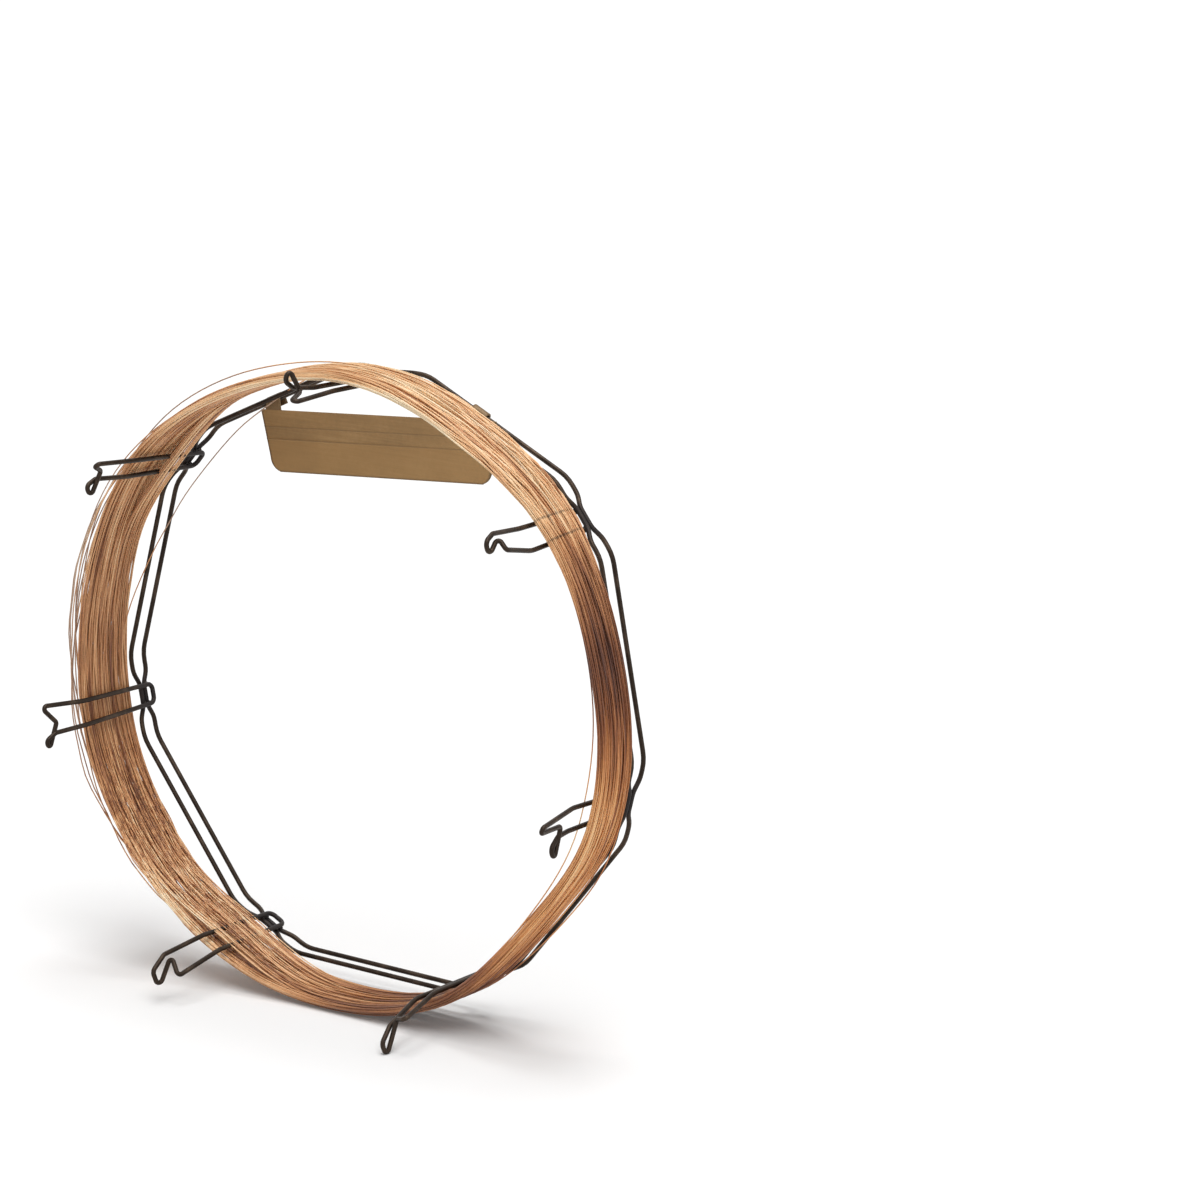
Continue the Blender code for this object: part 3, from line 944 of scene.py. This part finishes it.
# The sheet's rows and columns as shares of its height and half width, and the columns that each tab takes
def sheetGrid():
    shares = {row / plate["rows"] for row in range(plate["rows"] + 1)} | set(plate["lastRows"])
    for at, depth in plate["creases"]:
        shares |= {at + step * plate["creaseHalf"] / 2 for step in (-2, -1, 0, 1, 2)}
    places = [2 * column / plate["columns"] - 1 for column in range(plate["columns"] + 1)]
    tabs = []
    for tab in plate["tabs"]:
        centre = round((tab / (plate["topWidth"] / 2) + 1) * plate["columns"] / 2)
        reach = round(plate["tabHalf"] / plate["topWidth"] * plate["columns"])
        places[centre - reach] = (tab - plate["tabHalf"]) / (plate["topWidth"] / 2)
        places[centre + reach] = (tab + plate["tabHalf"]) / (plate["topWidth"] / 2)
        tabs.append(range(centre - reach, centre + reach))
    return sorted(shares), places, tabs


# How far the sheet is bowed and creased out of its plane
def dent(share, across):
    depth = plate["bow"] * (1 - across ** 2) * (4 * share * (1 - share))
    for at, size in plate["creases"]:
        depth -= size * max(0.0, 1 - abs(share - at) / plate["creaseHalf"])
    return depth


def makePlate():
    build = bmesh.new()
    sheetMap = build.loops.layers.uv.new("sheet")
    shares, places, tabs = sheetGrid()
    rows, columns = len(shares), len(places)
    half, edge = plate["thick"] / 2, plate["edge"]
    lowest = 1 - edge / plate["height"]

    # the two flat faces stop short of the outline by the rounded edge
    flats = {}
    for side in (-1, 1):
        for row, share in enumerate(shares):
            reach = max(0.0, plateHalf(min(share, lowest)) - edge)
            down = share * plate["height"] - (edge if share == 1 else 0.0)
            for column, across in enumerate(places):
                at = platePlace(across * reach, down, side * half + dent(share, across))
                flats[(row, column, side)] = build.verts.new(at)
    border = [(0, column) for column in range(columns)]
    border += [(row, columns - 1) for row in range(1, rows)]
    border += [(rows - 1, column) for column in range(columns - 2, -1, -1)]
    border += [(row, 0) for row in range(rows - 2, 0, -1)]
    rims = {}
    for row, column in border:
        share, across = shares[row], places[column]
        reach = plateHalf(share if share < 1 else lowest)
        if row in (0, rows - 1) and abs(across) < 1:
            reach = max(0.0, reach - edge)
        for side in (-1, 1):
            aside = side * (half - edge) + dent(share, across)
            at = platePlace(across * reach, share * plate["height"], aside)
            rims[(row, column, side)] = build.verts.new(at)

    def face(corners, cells):
        for loop, (row, column) in zip(build.faces.new(corners).loops, cells):
            loop[sheetMap].uv = (places[column] / 2 + 0.5, shares[row])

    # from the front flat to the rear one, over the edge
    def overEdge(*cell):
        return [flats[(*cell, -1)], rims[(*cell, -1)], rims[(*cell, 1)], flats[(*cell, 1)]]

    for side in (-1, 1):
        for row in range(rows - 1):
            for column in range(columns - 1):
                cells = [(row, column), (row, column + 1), (row + 1, column + 1), (row + 1, column)][::-side]
                face([flats[(*cell, side)] for cell in cells], cells)
    for index, near in enumerate(border):
        far = border[(index + 1) % len(border)]
        if near[0] == far[0] == 0 and any(near[1] in tab for tab in tabs):
            continue
        nearVerts, farVerts = overEdge(*near), overEdge(*far)
        for step in range(3):
            corners = [nearVerts[step], nearVerts[step + 1], farVerts[step + 1], farVerts[step]]
            face(corners, [near, near, far, far])
    for middle, tab in zip(plate["tabs"], tabs):
        makeHook(build, sheetMap, middle, [overEdge(0, column) for column in [*tab, tab[-1] + 1]])
    bmesh.ops.recalc_face_normals(build, faces=build.faces)
    mesh = bpy.data.meshes.new("tagPlate")
    build.to_mesh(mesh)
    build.free()
    mesh.shade_smooth()
    mesh.set_sharp_from_angle(angle=plate["sharpAngle"])
    return linked("tagPlate", mesh, plateFinish())


# The straight side of the rear ring wire that a tab hooks over
def ringSide(left):
    aside = cage["ringsMiddle"] + cage["spreadApart"]
    reach = cage["flat"][0]
    if left:
        return flatPoint(1, -reach, aside), flatPoint(0, reach, aside)
    return flatPoint(0, -reach, aside), flatPoint(cage["stations"] - 1, reach, aside)


# One tab, from the sheet's top edge up to the ring wire, round it and down behind it
def makeHook(build, sheetMap, tab, root):
    front, frontRim, rearRim, rear = [list(verts) for verts in zip(*root)]
    start, end = ringSide(tab < 0)
    along = (end - start).normalized()
    outward = Vector((-along.z, 0.0, along.x))
    at = platePlace(tab, 0.0) - ringCentre
    wire = start + along * ((at.x - start.x) / along.x)
    half, edge, reach = plate["thick"] / 2, plate["edge"], plate["tabHalf"]
    places = [(2 * step / (len(front) - 1) - 1) * reach for step in range(len(front))]
    places[0] += edge
    places[-1] -= edge
    profile = [(x, -half) for x in places] + [(reach, edge - half), (reach, half - edge)]
    profile += [(x, half) for x in reversed(places)] + [(-reach, half - edge), (-reach, edge - half)]

    # where each section of the hook lies, and which way its inner face looks
    sections = []
    for step in range(plate["hookSteps"] + 1):
        turn = pi * step / plate["hookSteps"]
        inward = Vector((0.0, cos(turn), 0.0)) - outward * sin(turn)
        sections.append((wire - inward * hookBend, inward))
    last, inward = sections[-1]
    sections.append((last - outward * (plate["hookTail"] - edge), inward))
    sections.append((last - outward * plate["hookTail"], inward * plate["hookEndThin"]))
    previous = front + [frontRim[-1], rearRim[-1]] + rear[::-1] + [rearRim[0], frontRim[0]]
    for middle, inward in sections:
        following = [build.verts.new(middle + along * x + inward * y + ringCentre) for x, y in profile]
        for index in range(len(previous)):
            after = (index + 1) % len(previous)
            corners = (previous[index], previous[after], following[after], following[index])
            for loop in build.faces.new(corners).loops:
                loop[sheetMap].uv = sheet["hookSpot"]
        previous = following
    build.faces.new(previous)


tagPlate = makePlate()
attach(tagPlate, "root")
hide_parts("tag_plate")
print("tag plate made")


# Floor, world, lamps and camera
studio = {
    "floorSize": 8.0,
    "floorTone": 0.86,
    "floorLift": 0.06,      # what the camera sees on top of the light that falls there
    "worldAmbient": 0.34,
    "lamps": (  # direction it shines from, width in degrees, strength
        ((-0.02, 0.14, 1.00), 28, 1.30),
        ((0.36, -0.32, 0.88), 40, 1.60),
    ),
}


# 1 where the camera, a reflection or clear glass looks, 0 for the light that falls on things
def seen(finish):
    kinds = ("Camera", "Glossy", "Transmission")
    rays = [finish.node("ShaderNodeLightPath", {}, {}, f"Is {kind} Ray") for kind in kinds]
    return (rays[0] + rays[1] + rays[2]).maths("MINIMUM", 1.0)


def makeFloor():
    finish = Finish(bpy.data.materials.new("studioFloor"))
    specks = finish.noise(finish.place(), 3.0, 2.0)
    darker, paler = [(studio["floorTone"] + by,) * 3 for by in (-0.01, 0.01)]
    finish.wear(
        baseColor=finish.ramp(specks, (0.0, darker), (1.0, paler)),
        roughness=0.9,
        specular=0.0,
        emissionColor=finish.mix(seen(finish) * studio["floorLift"], (0.0, 0.0, 0.0), (1.0, 1.0, 1.0)),
        emissionStrength=1.0,
    )
    mesh = bpy.data.meshes.new("studioFloor")
    half = studio["floorSize"] / 2
    corners = [(-half, -half, 0), (half, -half, 0), (half, half, 0), (-half, half, 0)]
    mesh.from_pydata(corners, [], [(0, 1, 2, 3)])
    floor = linked("studioFloor", mesh, finish.owner)


def makeWorld():
    finish = Finish(bpy.data.worlds.new("studioWorld"), "Background")
    strength = studio["worldAmbient"] + seen(finish) * (1 - studio["worldAmbient"])
    finish.wear(color=(1.0, 1.0, 1.0), strength=strength)
    bpy.context.scene.world = finish.owner


def makeLamps():
    for index, (place, width, strength) in enumerate(studio["lamps"]):
        data = bpy.data.lights.new(f"softBox{index}", "SUN")
        data.angle = radians(width)
        data.energy = strength
        lamp = bpy.data.objects.new(f"softBox{index}", data)
        lamp.location = ringCentre + Vector(place)
        lamp.rotation_euler = (-Vector(place)).to_track_quat("-Z", "Y").to_euler()
        bpy.context.scene.collection.objects.link(lamp)


camera = {
    "azimuth": radians(37.518),
    "elevation": radians(13.77),
    "distance": 1.2152,
    "focal": 4631.2,             # in pixels of the picture
    "picture": 1200,
    "ringAt": (383.73, 676.25),  # where the ring's centre falls in the picture
    "sensor": 36.0,
}


def makeCamera():
    azimuth, elevation = camera["azimuth"], camera["elevation"]
    back = Vector((sin(azimuth) * cos(elevation), -cos(azimuth) * cos(elevation), sin(elevation)))
    right = Vector((cos(azimuth), sin(azimuth), 0.0))
    up = back.cross(right)
    half = camera["picture"] / 2
    aim = -back + right * ((half - camera["ringAt"][0]) / camera["focal"])
    aim += up * ((camera["ringAt"][1] - half) / camera["focal"])
    turnedBack = -aim.normalized()
    turnedRight = (right - turnedBack * right.dot(turnedBack)).normalized()
    turnedUp = turnedBack.cross(turnedRight)
    data = bpy.data.cameras.new("camera")
    data.sensor_width = camera["sensor"]
    data.lens = camera["sensor"] * camera["focal"] / camera["picture"]
    data.clip_end = 50.0
    eye = bpy.data.objects.new("camera", data)
    place = Matrix((turnedRight, turnedUp, turnedBack)).transposed().to_4x4()
    place.translation = ringCentre + back * camera["distance"]
    eye.matrix_world = place
    bpy.context.scene.collection.objects.link(eye)
    bpy.context.scene.camera = eye


makeFloor()
makeWorld()
makeLamps()
makeCamera()
bpy.context.scene.view_settings.view_transform = "Standard"
print("studio set")
